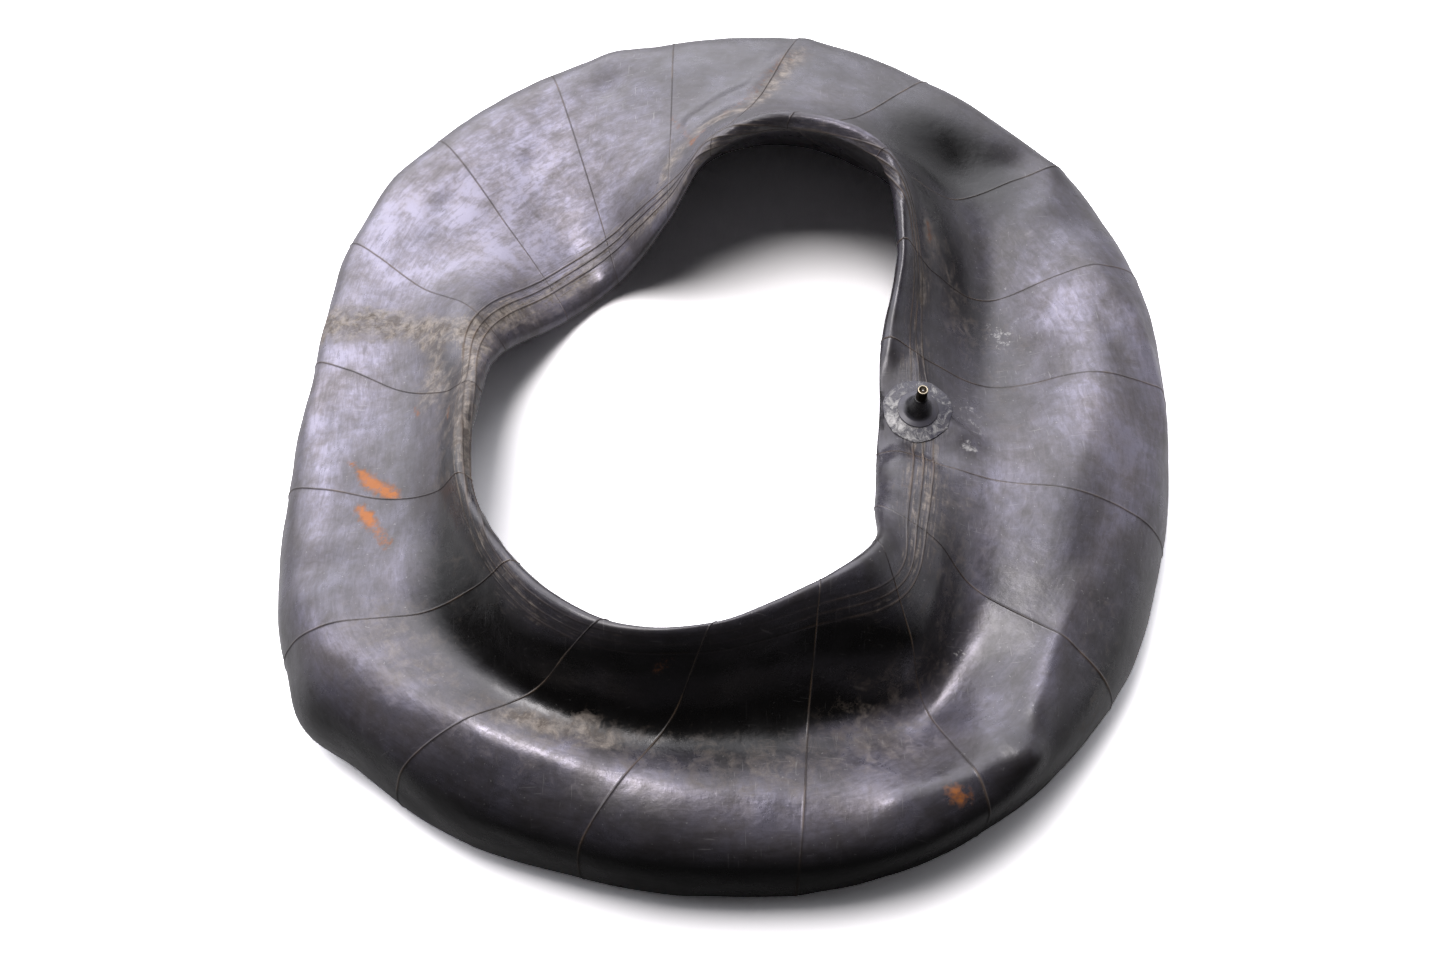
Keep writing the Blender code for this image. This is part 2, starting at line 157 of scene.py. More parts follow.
# One row for each mould line, anticlockwise from the left, in mm. Outline x, y; rim x, y, z; then
# shoulder, valley and foot of the rim wall as distance in from the outline and height; where the
# skin lifts off the floor; how squarely the outer wall stands, from 0 slanting to 1 upright; and how
# far the middle ridge lies back from the rim's edge.
STATIONS = np.array([
    (-336, -108, -177, -156, 150, 38, 74, 92, 86, 138, 118, 62, 0.30, 9),
    (-315, -241, -137, -224, 160, 46, 96, 106, 99, 148, 131, 64, 0.15, 26),
    (-225, -336, -79, -266, 165, 56, 110, 104, 106, 133, 143, 60, 0.25, 26),
    (-101, -385, -13, -266, 165, 48, 104, 95, 96, 120, 134, 56, 0.60, 28),
    (37, -395, 51, -235, 160, 38, 95, 98, 84, 128, 124, 56, 0.70, 34),
    (159, -358, 88, -203, 150, 24, 87, 84, 62, 116, 114, 54, 0.80, 42),
    (257, -270, 93, -160, 122, 46, 87, 116, 86, 150, 120, 60, 0.10, 38),
    (313, -153, 102, -99, 95, 74, 97, 134, 88, 186, 98, 66, 0.20, 38),
    (337, -29, 109, -5, 105, 62, 84, 142, 55, 194, 82, 66, 0.40, 40),
    (334, 96, 122, 65, 135, 52, 77, 130, 48, 180, 92, 60, 0.38, 34),
    (291, 219, 109, 132, 160, 56, 68, 118, 72, 168, 122, 60, 0.38, 2),
    (181, 323, 40, 156, 170, 54, 84, 120, 104, 178, 142, 62, 0.38, -8),
    (67, 384, -20, 137, 160, 58, 86, 136, 104, 206, 136, 70, 0.38, 12),
    (-55, 383, -54, 123, 100, 60, 78, 140, 86, 214, 104, 96, 0.38, 28),
    (-169, 352, -99, 119, 28, 46, 56, 116, 54, 196, 42, 150, 0.38, 34),
    (-263, 266, -139, 81, 25, 44, 54, 112, 46, 180, 36, 140, 0.38, 36),
    (-324, 142, -178, 11, 75, 42, 60, 96, 64, 158, 90, 80, 0.38, 30),
    (-336, 15, -183, -66, 125, 40, 64, 90, 68, 138, 98, 66, 0.40, 17),
], dtype=float)
LINES = len(STATIONS)
CONTACT_OUTER, WIDEST_HEIGHT, FAR_BULGE = 26.0, 34.0, 8.0
FOOT = (4.0, 13.0)
SLANT_IN, SLANT_UP = 0.34, 0.56
SQUARE_IN, SQUARE_UP = 0.10, 0.88
RIM_BACK, RIM_CROWN, NOSE_DROP = 6.0, 2.0, 7.0
LIP_BACK, LIP_DROP = 9.0, 15.0
UNDER_IN, UNDER_DROP = 8.0, 32.0
FAR_UNDER_IN, FAR_UNDER_DROP = -14.0, 40.0
NOSE_CORNER = 8
HALF_GIRTH, TRUE_GIRTH = 280.0, 30.0
PROFILE_STEPS, LANE_APART = 1200, 5000.0
LINE_PITCH = 100.0
RIDGES = (-7.5, 0.0, 7.5)
VALVE_SEAT = np.array((133.0, -63.0, 92.0))
VALVE_AXIS = np.array(Vector((-0.01, -0.13, 0.99)).normalized())
SEAT_FLAT, SEAT_FADE, SEAT_DEPTH = 34.0, 62.0, 16.0


def ring_spline(values, where):
    """Closed cubic curve through the rows of values, each stretch leaving along its neighbours' chord."""
    before = np.floor(where).astype(int)
    t = (where - before)[:, None]
    a, b, c, d = (values[(before + step) % len(values)] for step in (-1, 0, 1, 2))
    return 0.5 * (2 * b + (c - a) * t + (2 * a - 5 * b + 4 * c - d) * t**2
                  + (3 * b - a - 3 * c + d) * t**3)


def section_corners(stations):
    """Twelve corners of each section, from the floor up the outer wall, over to the rim and back under."""
    ox, oy, rx, ry, rim, s_in, shoulder, v_in, valley, w_in, wall, lift, square = stations.T[:13]
    reach = np.hypot(rx - ox, ry - oy)
    far = np.clip(oy / np.hypot(ox, oy), 0, 1)
    wall_in = SLANT_IN + (SQUARE_IN - SLANT_IN) * square
    wall_up = SLANT_UP + (SQUARE_UP - SLANT_UP) * square
    under_in = UNDER_IN + (FAR_UNDER_IN - UNDER_IN) * far
    under_drop = UNDER_DROP + (FAR_UNDER_DROP - UNDER_DROP) * far
    flat = np.zeros_like(reach)
    corners = [
        (flat + CONTACT_OUTER, flat),
        (flat + FOOT[0], flat + FOOT[1]),
        (-FAR_BULGE * far, flat + WIDEST_HEIGHT),
        (wall_in * s_in, WIDEST_HEIGHT + wall_up * (shoulder - WIDEST_HEIGHT)),
        (s_in, shoulder),
        (v_in, valley),
        (w_in, wall),
        (reach - RIM_BACK, rim + RIM_CROWN),
        (reach, rim - NOSE_DROP),
        (reach - LIP_BACK, rim - LIP_DROP),
        (w_in + under_in, wall - under_drop),
        (lift, flat),
    ]
    return np.stack([np.stack(corner, -1) for corner in corners], 1), reach


def closed_loop(corners, where):
    """Closed spline through each section's corners, with knots spaced by the root of their distance."""
    span = np.sqrt(np.linalg.norm(np.roll(corners, -1, 1) - corners, axis=2))[..., None]
    slope = (np.roll(corners, -1, 1) - corners) / span
    span_before, slope_before = np.roll(span, 1, 1), np.roll(slope, 1, 1)
    tangent = (span_before * slope + span * slope_before) / (span_before + span)
    here = np.floor(where).astype(int) % corners.shape[1]
    after = (here + 1) % corners.shape[1]
    t = (where - np.floor(where))[None, :, None]
    return (corners[:, here] * (2 * t**3 - 3 * t**2 + 1) + corners[:, after] * (3 * t**2 - 2 * t**3)
            + span[:, here] * (tangent[:, here] * (t**3 - 2 * t**2 + t)
                               + tangent[:, after] * (t**3 - t**2)))


def fade(distance, full, none):
    """1 up to full, 0 from none on, smooth between."""
    t = np.clip((none - distance) / (none - full), 0, 1)
    return t * t * (3 - 2 * t)


def lying_skin(around, girth):
    """The skin's points: each section's spline is read at girth mm from the middle ridge, outwards."""
    stations = ring_spline(STATIONS, around)
    corners, reach = section_corners(stations)
    where = np.linspace(0, corners.shape[1], PROFILE_STEPS + 1)
    profile = closed_loop(corners, where)
    profile[..., 1] = np.maximum(profile[..., 1], 0)
    step = np.linalg.norm(np.diff(profile, axis=1), axis=2)
    arc = np.concatenate([np.zeros((len(around), 1)), np.cumsum(step, 1)], 1)
    total = arc[:, -1:]
    nose = arc[:, NOSE_CORNER * PROFILE_STEPS // corners.shape[1]]
    ridge = (nose - stations[:, 13])[:, None]
    stretch = (total / 2 - TRUE_GIRTH) / (HALF_GIRTH - TRUE_GIRTH)
    beyond = np.sign(girth) * (TRUE_GIRTH + (np.abs(girth) - TRUE_GIRTH) * stretch)
    along = (ridge - np.where(np.abs(girth) > TRUE_GIRTH, beyond, girth)) % total
    lane = np.arange(len(around))[:, None] * LANE_APART
    inward, height = (np.interp((along + lane).ravel(), (arc + lane).ravel(), profile[..., k].ravel())
                      .reshape(along.shape) for k in (0, 1))
    outline, rim = stations[:, None, 0:2], stations[:, None, 2:4]
    plan = outline + (rim - outline) / reach[:, None, None] * inward[..., None]
    return np.concatenate([plan, height[..., None]], -1)


def grid_normals(points):
    """Unit normals of a grid closed both ways, from its neighbours' differences."""
    along = np.roll(points, -1, 0) - np.roll(points, 1, 0)
    across = np.roll(points, -1, 1) - np.roll(points, 1, 1)
    normal = np.cross(along, across)
    return normal / np.maximum(np.linalg.norm(normal, axis=-1, keepdims=True), 1e-9)


def bump_at(around, girth, place, spread):
    """A round swelling of height 1 at a place on the skin, fading over spread (mould lines, mm)."""
    off = (around - place[0] + LINES / 2) % LINES - LINES / 2
    return np.exp(-(off / spread[0])**2 - ((girth - place[1]) / spread[1])**2)


def crease_along(around, girth, path, width):
    """1 on a line through the places of path on the skin, fading over width mm."""
    nearest = np.full(np.broadcast_shapes(around.shape, girth.shape), 1e9)
    here = np.stack(np.broadcast_arrays(around * LINE_PITCH, girth), -1)
    ends = np.array([(u * LINE_PITCH, w) for u, w in path])
    for a, b in zip(ends[:-1], ends[1:]):
        share = np.clip(((here - a) @ (b - a)) / ((b - a) @ (b - a)), 0, 1)
        nearest = np.minimum(nearest, np.linalg.norm(here - a - share[..., None] * (b - a), axis=-1))
    return np.exp(-(nearest / width)**2)


def soft_waves(points, count, shortest, longest, seed):
    """Unevenness of the skin: a sum of sine waves with random directions between two wavelengths."""
    draw = np.random.default_rng(seed)
    total = np.zeros(points.shape[:-1])
    for _ in range(count):
        way = draw.normal(size=3)
        length = draw.uniform(shortest, longest)
        total += np.sin(points @ (way / np.linalg.norm(way)) * 2 * math.pi / length
                        + draw.uniform(0, 2 * math.pi)) * length / longest
    return total / math.sqrt(count)


# Places on the skin are written as mould line number and mm out from the middle ridge.
SWELLINGS = [
    # place, spread, height in mm
    ((1.36, 230), (0.24, 40), 9.0),
    ((10.45, 214), (0.40, 36), 6.0),
    ((15.45, 228), (0.32, 36), 6.0),
    ((13.5, 214), (0.24, 30), 5.0),
    ((5.30, 178), (0.09, 12), 2.0),
    ((5.40, 150), (0.10, 14), -2.0),
    ((13.6, 168), (0.14, 18), -6.0),
    ((14.44, 122), (0.14, 14), -3.0),
    ((15.30, 142), (0.16, 18), -4.0),
    ((10.28, 165), (0.28, 36), -8.0),
    ((10.14, 204), (0.12, 16), -4.0),
    ((10.00, 230), (0.12, 14), 2.5),
    ((0.56, 158), (0.11, 30), -5.0),
    ((0.66, 92), (0.22, 20), 3.0),
    ((17.45, 176), (0.30, 12), -2.0),
    ((8.80, 144), (0.30, 24), 3.0),
    ((7.70, 136), (0.28, 26), 3.0),
    ((8.25, 112), (0.20, 20), -2.5),
]
CREASES = [
    # places that it runs through, width and height in mm
    (((11.94, 214), (12.16, 126), (12.76, 88)), 9.0, 3.0),
    (((4.54, 161), (4.88, 168), (5.12, 172), (5.32, 180)), 10.0, 2.2),
    (((5.32, 180), (5.54, 158), (5.86, 144), (6.40, 140)), 10.0, 2.6),
    (((5.30, 172), (5.18, 140), (5.10, 120)), 8.0, 2.0),
    (((8.95, 180), (8.58, 194), (8.10, 200), (7.76, 202)), 7.0, 2.4),
    (((8.90, 156), (8.55, 168), (8.10, 176)), 10.0, -2.2),
    (((10.02, 226), (9.70, 190), (9.55, 160)), 11.0, 2.4),
    (((9.60, 226), (9.40, 196)), 14.0, -2.4),
]
LINE_OFFSETS = np.array([0.3, 0.6, 1.0, 1.6, 2.6]) / LINE_PITCH
RIDGE_OFFSETS = np.array([0.35, 0.7, 1.1, 1.7])
PLAIN_COLUMNS, ROW_STEP = 20, 4.5
RIDGE_CLEAR, RIDGE_GAPS = 2.5, (-3.7, 3.7)
LINE_HEIGHT, LINE_WIDTH = 0.5, 0.5
RIDGE_HEIGHT, RIDGE_WIDTH = 0.6, 0.6
FRONT_PLACE, FRONT_SPREAD, FRONT_FLAT = (3.0, 0), (2.2, 1), 0.85
WAVES = [
    # height in mm, number of waves, shortest and longest wavelength in mm, and the seed
    (1.1, 14, 45, 130, 7),
    (0.22, 18, 14, 34, 8),
]

near_line = np.concatenate([-LINE_OFFSETS[::-1], [0], LINE_OFFSETS])
between = np.linspace(0.05, 0.95, PLAIN_COLUMNS)
skin_around = np.sort((np.arange(LINES)[:, None] + np.concatenate([near_line, between])).ravel() % LINES)
plain_rows = np.arange(-HALF_GIRTH, HALF_GIRTH, ROW_STEP)
plain_rows = plain_rows[np.abs(plain_rows) > abs(RIDGES[0]) + RIDGE_CLEAR]
near_ridge = np.concatenate([-RIDGE_OFFSETS[::-1], [0], RIDGE_OFFSETS])
ridge_rows = (np.array(RIDGES)[:, None] + near_ridge).ravel()
skin_girth = np.sort(np.concatenate([plain_rows, ridge_rows, RIDGE_GAPS]))
skin_u, skin_w = skin_around[:, None], skin_girth[None, :]

# Behind the front shoulder the skin sags smoothly, so rows there are averaged with their neighbours.
SAG_PLACE, SAG_SPREAD, SAG_ROWS = (3.3, 70), (1.7, 34), 5
skin_points = lying_skin(skin_around, skin_girth)
sagged = np.mean([np.roll(skin_points, step, 1) for step in range(-SAG_ROWS, SAG_ROWS + 1)], axis=0)
sag = bump_at(skin_u, skin_w, SAG_PLACE, SAG_SPREAD)[..., None]
skin_points = skin_points + sag * (sagged - skin_points)
skin_normals = -grid_normals(skin_points)
lift = sum(height * bump_at(skin_u, skin_w, place, spread) for place, spread, height in SWELLINGS)
lift = lift + sum(height * crease_along(skin_u, skin_w, path, width) for path, width, height in CREASES)
lift = lift + sum(height * soft_waves(skin_points, *wave) for height, *wave in WAVES)
line_off = np.abs(skin_u - np.round(skin_u)) * LINE_PITCH
line_mask = np.exp(-(line_off / LINE_WIDTH)**2) * np.ones_like(skin_w)
ridge_off = np.min(np.abs(skin_girth[:, None] - np.array(RIDGES)), axis=1)[None, :]
ridge_mask = np.exp(-(ridge_off / RIDGE_WIDTH)**2) * np.ones_like(skin_u)
# Along the front the ridges are hardly raised.
front_share = bump_at(skin_u, 0, FRONT_PLACE, FRONT_SPREAD)
lift = lift + LINE_HEIGHT * line_mask + RIDGE_HEIGHT * ridge_mask * (1 - FRONT_FLAT * front_share)
skin_points = skin_points + lift[..., None] * skin_normals
seat_off = skin_points - VALVE_SEAT
seat_height = seat_off @ VALVE_AXIS
seat_radius = np.linalg.norm(seat_off - seat_height[..., None] * VALVE_AXIS, axis=-1)
seat_share = fade(seat_radius, SEAT_FLAT, SEAT_FADE) * fade(np.abs(seat_height), SEAT_DEPTH / 2, SEAT_DEPTH)
skin_points = skin_points - (seat_share * seat_height)[..., None] * VALVE_AXIS
skin_points[..., 2] = np.maximum(skin_points[..., 2], 0)


def closed_grid(name, points, lanes=None):
    """A smooth mesh of quads on a grid of points in mm, closed both ways, quad (i, j) between columns i
    and i + 1 and rows j and j + 1. Lanes, where given, are the two axes of its UV map in mm."""
    columns, rows = points.shape[:2]
    index = np.arange(columns * rows).reshape(columns, rows)
    ahead = np.roll(index, -1, 0)
    quads = np.stack([index, np.roll(index, -1, 1), np.roll(ahead, -1, 1), ahead], -1).reshape(-1, 4)
    mesh = bpy.data.meshes.new(name)
    mesh.vertices.add(columns * rows)
    mesh.vertices.foreach_set("co", (points * MM).astype(np.float32).ravel())
    mesh.loops.add(quads.size)
    mesh.loops.foreach_set("vertex_index", quads.astype(np.int32).ravel())
    mesh.polygons.add(len(quads))
    mesh.polygons.foreach_set("loop_start", np.arange(0, quads.size, 4, dtype=np.int32))
    mesh.update(calc_edges=True)
    if lanes:
        along, across = (np.asarray(lane) * MM for lane in lanes)
        sides = ((along[:-1], across[:-1]), (along[:-1], across[1:]),
                 (along[1:], across[1:]), (along[1:], across[:-1]))
        corners = [np.meshgrid(a, b, indexing="ij") for a, b in sides]
        places = np.stack([np.stack(corner, -1) for corner in corners], 2)
        mesh.uv_layers.new(name="lanes").data.foreach_set("uv", places.astype(np.float32).ravel())
    mesh.validate()
    mesh.shade_smooth()
    made = bpy.data.objects.new(name, mesh)
    scene.collection.objects.link(made)
    return made


def paint(piece, name, values):
    """Keep a value from 0 to 1 at every point of a piece, for its material to read."""
    layer = piece.data.attributes.new(name, "FLOAT", "POINT")
    layer.data.foreach_set("value", np.clip(values, 0, 1).astype(np.float32).ravel())


DUST_AND_LIP_LIGHT_BANDS = [
    # places that each drift runs through, its width in mm and its strength; the two drifts along the
    # underside of the rim's lip are painted light there as well as dust
    (((16.72, 214), (16.62, 170), (16.42, 106), (16.38, 40), (16.28, 4)), 15.0, 0.95),
    (((16.45, 60), (16.74, 44), (17.02, 70)), 18.0, 0.65),
    (((16.28, 2), (16.70, 0), (17.46, 0), (17.92, -4)), 9.0, 0.8),
    (((16.30, 4), (15.54, -6)), 9.0, 0.6),
    (((11.90, 190), (11.96, 126), (12.06, 88), (12.58, 66), (13.10, 22)), 11.0, 0.8),
    (((2.14, 94), (2.42, 92)), 10.0, 0.8),
    (((2.46, 80), (2.72, 94)), 11.0, 0.6),
    (((9.44, 40), (9.00, 20), (8.60, 6)), 10.0, 0.5),
    (((6.60, 20), (5.80, 40), (5.30, 70), (4.60, 84)), 34.0, 0.28),
    (((6.30, 160), (5.80, 205)), 24.0, 0.25),
    (((8.90, 95), (7.60, 70)), 40.0, 0.16),
    (((16.90, 34), (17.50, 30), (17.99, 34)), 24.0, 0.35),
    (((0.01, 34), (0.60, 40)), 24.0, 0.12),
    # painted light as well as dust: this drift lightens the shaded underside of the rim's lip
    (((14.50, -12), (15.60, -14), (16.40, -10)), 12.0, 0.55),
    (((1.10, 112), (1.90, 112), (3.10, 114), (4.60, 120)), 34.0, 0.34),
    (((9.60, 60), (8.60, 50)), 22.0, 0.30),
    # painted light as well as dust: this drift lightens the shaded underside of the rim's lip
    (((13.60, -8), (12.40, -12), (11.00, -10)), 9.0, 0.45),
]
STAIN_STREAKS = [
    # places that each smear runs through, its width in mm and its strength
    (((17.74, 152), (17.86, 132)), 3.0, 0.7),
    (((17.86, 132), (17.96, 104)), 7.5, 1.0),
    (((0.11, 136), (0.18, 127)), 5.0, 1.0),
    (((0.18, 127), (0.38, 106)), 5.5, 0.70),
    (((17.16, 84), (17.22, 78)), 3.5, 0.6),
    (((17.22, 28), (17.32, 26)), 3.0, 0.55),
    (((4.83, 172), (4.87, 178)), 5.5, 0.75),
    (((9.46, 44), (9.30, 36)), 4.0, 0.5),
    (((2.74, 20), (2.78, 16)), 5.0, 0.45),
    (((12.66, 46), (12.50, 60)), 4.0, 0.5),
    (((12.98, 98), (12.66, 48)), 6.0, 0.26),
    (((12.30, 82), (12.12, 110), (11.96, 180)), 7.0, 0.26),
]
BLOOM_AND_LIGHT_SPOTS = [
    # place, spread and strength: first the all-over film, then where it is thicker or, below 0, thinner.
    # Besides real bloom, these spots paint light: thicker film paints sheen and highlights, also on the
    # rim's shaded lip, and thinner film paints shade, as in the front pocket and on the outer walls.
    ((9.0, 130), (99.0, 999.0), 0.22),
    ((17.2, 180), (1.9, 70), 0.50),
    ((14.8, 100), (1.6, 130), 0.75),
    ((14.7, 46), (1.2, 40), 0.30),
    ((8.2, 150), (1.6, 70), 0.28),
    ((10.3, 170), (0.6, 50), -0.22),
    ((3.9, 60), (1.3, 50), -0.60),
    ((2.5, 40), (0.8, 34), -0.40),
    ((3.4, 250), (1.9, 45), -0.40),
    ((5.9, 230), (1.2, 40), -0.25),
    ((0.5, 20), (0.8, 26), -0.20),
    ((15.6, 256), (3.4, 32), -0.50),
    ((17.5, 30), (1.3, 26), -0.26),
    ((4.5, 130), (0.8, 36), 0.22),
    ((7.0, 80), (0.7, 30), 0.16),
    ((11.4, 120), (0.5, 50), 0.16),
    ((13.3, 160), (0.6, 50), -0.12),
    ((1.2, 116), (0.6, 30), 0.14),
    ((6.2, 214), (0.9, 30), -0.30),
    ((3.3, 110), (1.6, 26), 0.14),
    ((3.2, 210), (1.8, 26), -0.22),
    ((8.80, 144), (0.40, 30), 0.22),
    ((7.70, 136), (0.40, 32), 0.22),
    ((9.2, 74), (1.2, 28), -0.25),
    ((10.4, 150), (0.5, 50), -0.20),
    ((8.3, 222), (1.9, 32), 0.35),
    ((0.64, 92), (0.26, 22), 0.28),
    ((1.15, 56), (0.6, 28), -0.30),
    ((1.6, 200), (0.8, 26), -0.22),
    ((14.8, -14), (0.7, 16), 0.50),
    ((16.2, -10), (0.5, 14), 0.25),
    ((12.0, -12), (1.4, 14), 0.50),
    ((17.5, 54), (0.6, 22), 0.30),
    ((1.5, 150), (0.4, 24), 0.40),
    ((10.3, 14), (0.5, 24), 0.36),
    ((7.4, 160), (0.5, 26), 0.40),
    ((7.0, 50), (0.6, 26), 0.18),
    ((4.9, 122), (0.5, 26), 0.36),
    ((13.7, 138), (0.6, 50), -0.10),
    ((8.0, 124), (0.5, 40), -0.10),
    ((17.4, 146), (0.7, 40), -0.08),
]
CREST_HIGHLIGHTS = [
    # places along the crests where the film is painted thicker and shinier, as a painted highlight, its
    # width and strength
    (((1.02, 166), (1.34, 150), (1.74, 142), (1.98, 128), (2.56, 114), (3.10, 130), (3.66, 148), (3.96, 158),
      (4.40, 158)), 15.0, 0.42),
    (((6.50, 56), (6.32, 62), (6.12, 66), (5.90, 76), (5.70, 86), (5.42, 96), (5.02, 96), (4.40, 92),
      (3.98, 90)), 9.0, 0.30),
    (((7.40, 160), (6.94, 152), (6.58, 142), (6.18, 142), (5.84, 146), (5.64, 152)), 10.0, 0.30),
    (((17.10, 212), (17.28, 206), (17.64, 190), (17.78, 182), (17.99, 176)), 12.0, 0.25),
    (((0.01, 176), (0.40, 170), (0.70, 176)), 12.0, 0.25),
    (((8.58, 192), (8.10, 198), (7.76, 196)), 12.0, 0.25),
]
CHALK_SPOTS = [
    # place, spread and strength of white chalky smears
    ((8.6, 92), (0.20, 18), 0.5),
    ((7.25, 34), (0.05, 6), 1.0),
    ((7.6, 45), (0.35, 20), 0.35),
    ((5.5, 86), (0.06, 7), 0.6),
]
LINE_PAINT, RIDGE_PAINT, RIDGE_PAINT_FLAT = 0.65, 0.9, 0.9
BAND_WIDTH, BAND_GAP_PLACE, BAND_GAP_SPREAD = 16.0, (3.3, 0), (1.9, 1)
skin_lanes = (np.append(skin_around, LINES + skin_around[0]) * LINE_PITCH, np.append(skin_girth, HALF_GIRTH))
tube_skin = closed_grid("tube_skin", skin_points, skin_lanes)
paint(tube_skin, "stain", sum(amount * crease_along(skin_u, skin_w, path, width)
                              for path, width, amount in STAIN_STREAKS))
paint(tube_skin, "dust_and_lip_light", sum(amount * crease_along(skin_u, skin_w, path, width)
                             for path, width, amount in DUST_AND_LIP_LIGHT_BANDS))
paint(tube_skin, "chalk", sum(amount * bump_at(skin_u, skin_w, place, spread)
                              for place, spread, amount in CHALK_SPOTS))
# The film is partly real bloom and partly painted sheen, highlights and shade.
bloom_and_painted_light = sum(amount * bump_at(skin_u, skin_w, place, spread) for place, spread, amount in BLOOM_AND_LIGHT_SPOTS)
bloom_and_painted_light = bloom_and_painted_light + sum(amount * crease_along(skin_u, skin_w, path, width) for path, width, amount in CREST_HIGHLIGHTS)
paint(tube_skin, "bloom_and_painted_light", bloom_and_painted_light)
paint(tube_skin, "mould_line", np.exp(-(line_off / LINE_PAINT)**2) * np.ones_like(skin_w))
paint(tube_skin, "rim_ridge", np.exp(-(ridge_off / RIDGE_PAINT)**2) * (1 - RIDGE_PAINT_FLAT * front_share))
band_gap = bump_at(skin_u, 0, BAND_GAP_PLACE, BAND_GAP_SPREAD)
paint(tube_skin, "rim_band", np.exp(-(skin_w / BAND_WIDTH)**2) * (1 - band_gap))


def add_node(tree, kind, links=None, **settings):
    """A shader node with its settings: plain attributes by name, and input values or links by socket."""
    made = tree.nodes.new(kind)
    for name, value in settings.items():
        setattr(made, name, value)
    for socket, value in (links or {}).items():
        if isinstance(value, bpy.types.NodeSocket):
            tree.links.new(value, made.inputs[socket])
        else:
            made.inputs[socket].default_value = value
    return made


def noise(tree, vector, scale, detail=4.0, roughness=0.6, distortion=0.0):
    """Noise from 0 to 1, with about scale lumps to a metre."""
    return add_node(tree, "ShaderNodeTexNoise", {"Vector": vector, "Scale": scale, "Detail": detail,
                                                 "Roughness": roughness, "Distortion": distortion}).outputs[0]


def math_node(tree, operation, a, b=0.0, clamp=False):
    """One operation on two values or sockets."""
    return add_node(tree, "ShaderNodeMath", {0: a, 1: b}, operation=operation, use_clamp=clamp).outputs[0]


def span(tree, value, low, high, to_low=0.0, to_high=1.0):
    """Map value from low..high to to_low..to_high, clamped."""
    return add_node(tree, "ShaderNodeMapRange", {0: value, 1: low, 2: high, 3: to_low, 4: to_high}).outputs[0]


def mix(tree, share, a, b):
    """Colour a where share is 0 and colour b where it is 1."""
    return add_node(tree, "ShaderNodeMix", {0: share, 6: a, 7: b}, data_type="RGBA").outputs[2]


def attribute(tree, name):
    """A value that paint() has kept on the piece."""
    return add_node(tree, "ShaderNodeAttribute", attribute_name=name).outputs["Fac"]


WEAR_NOISES = [
    # scale, detail, roughness and distortion of the six noises, from broad clouds to moulding grain
    (9, 5, 0.62),
    (26, 7, 0.66, 0.3),
    (90, 8, 0.74, 0.5),
    (95, 2, 0.5),
    (330, 4, 0.7),
    (1500, 2, 0.6),
]
SCRATCH_WAYS = [
    # turn about the vertical and scale along x, y and z of the two sets of scratches
    (0.5, (46, 900, 60)),
    (2.2, (900, 60, 46)),
]
SCRATCH_COLOUR = (0.42, 0.41, 0.40, 1)


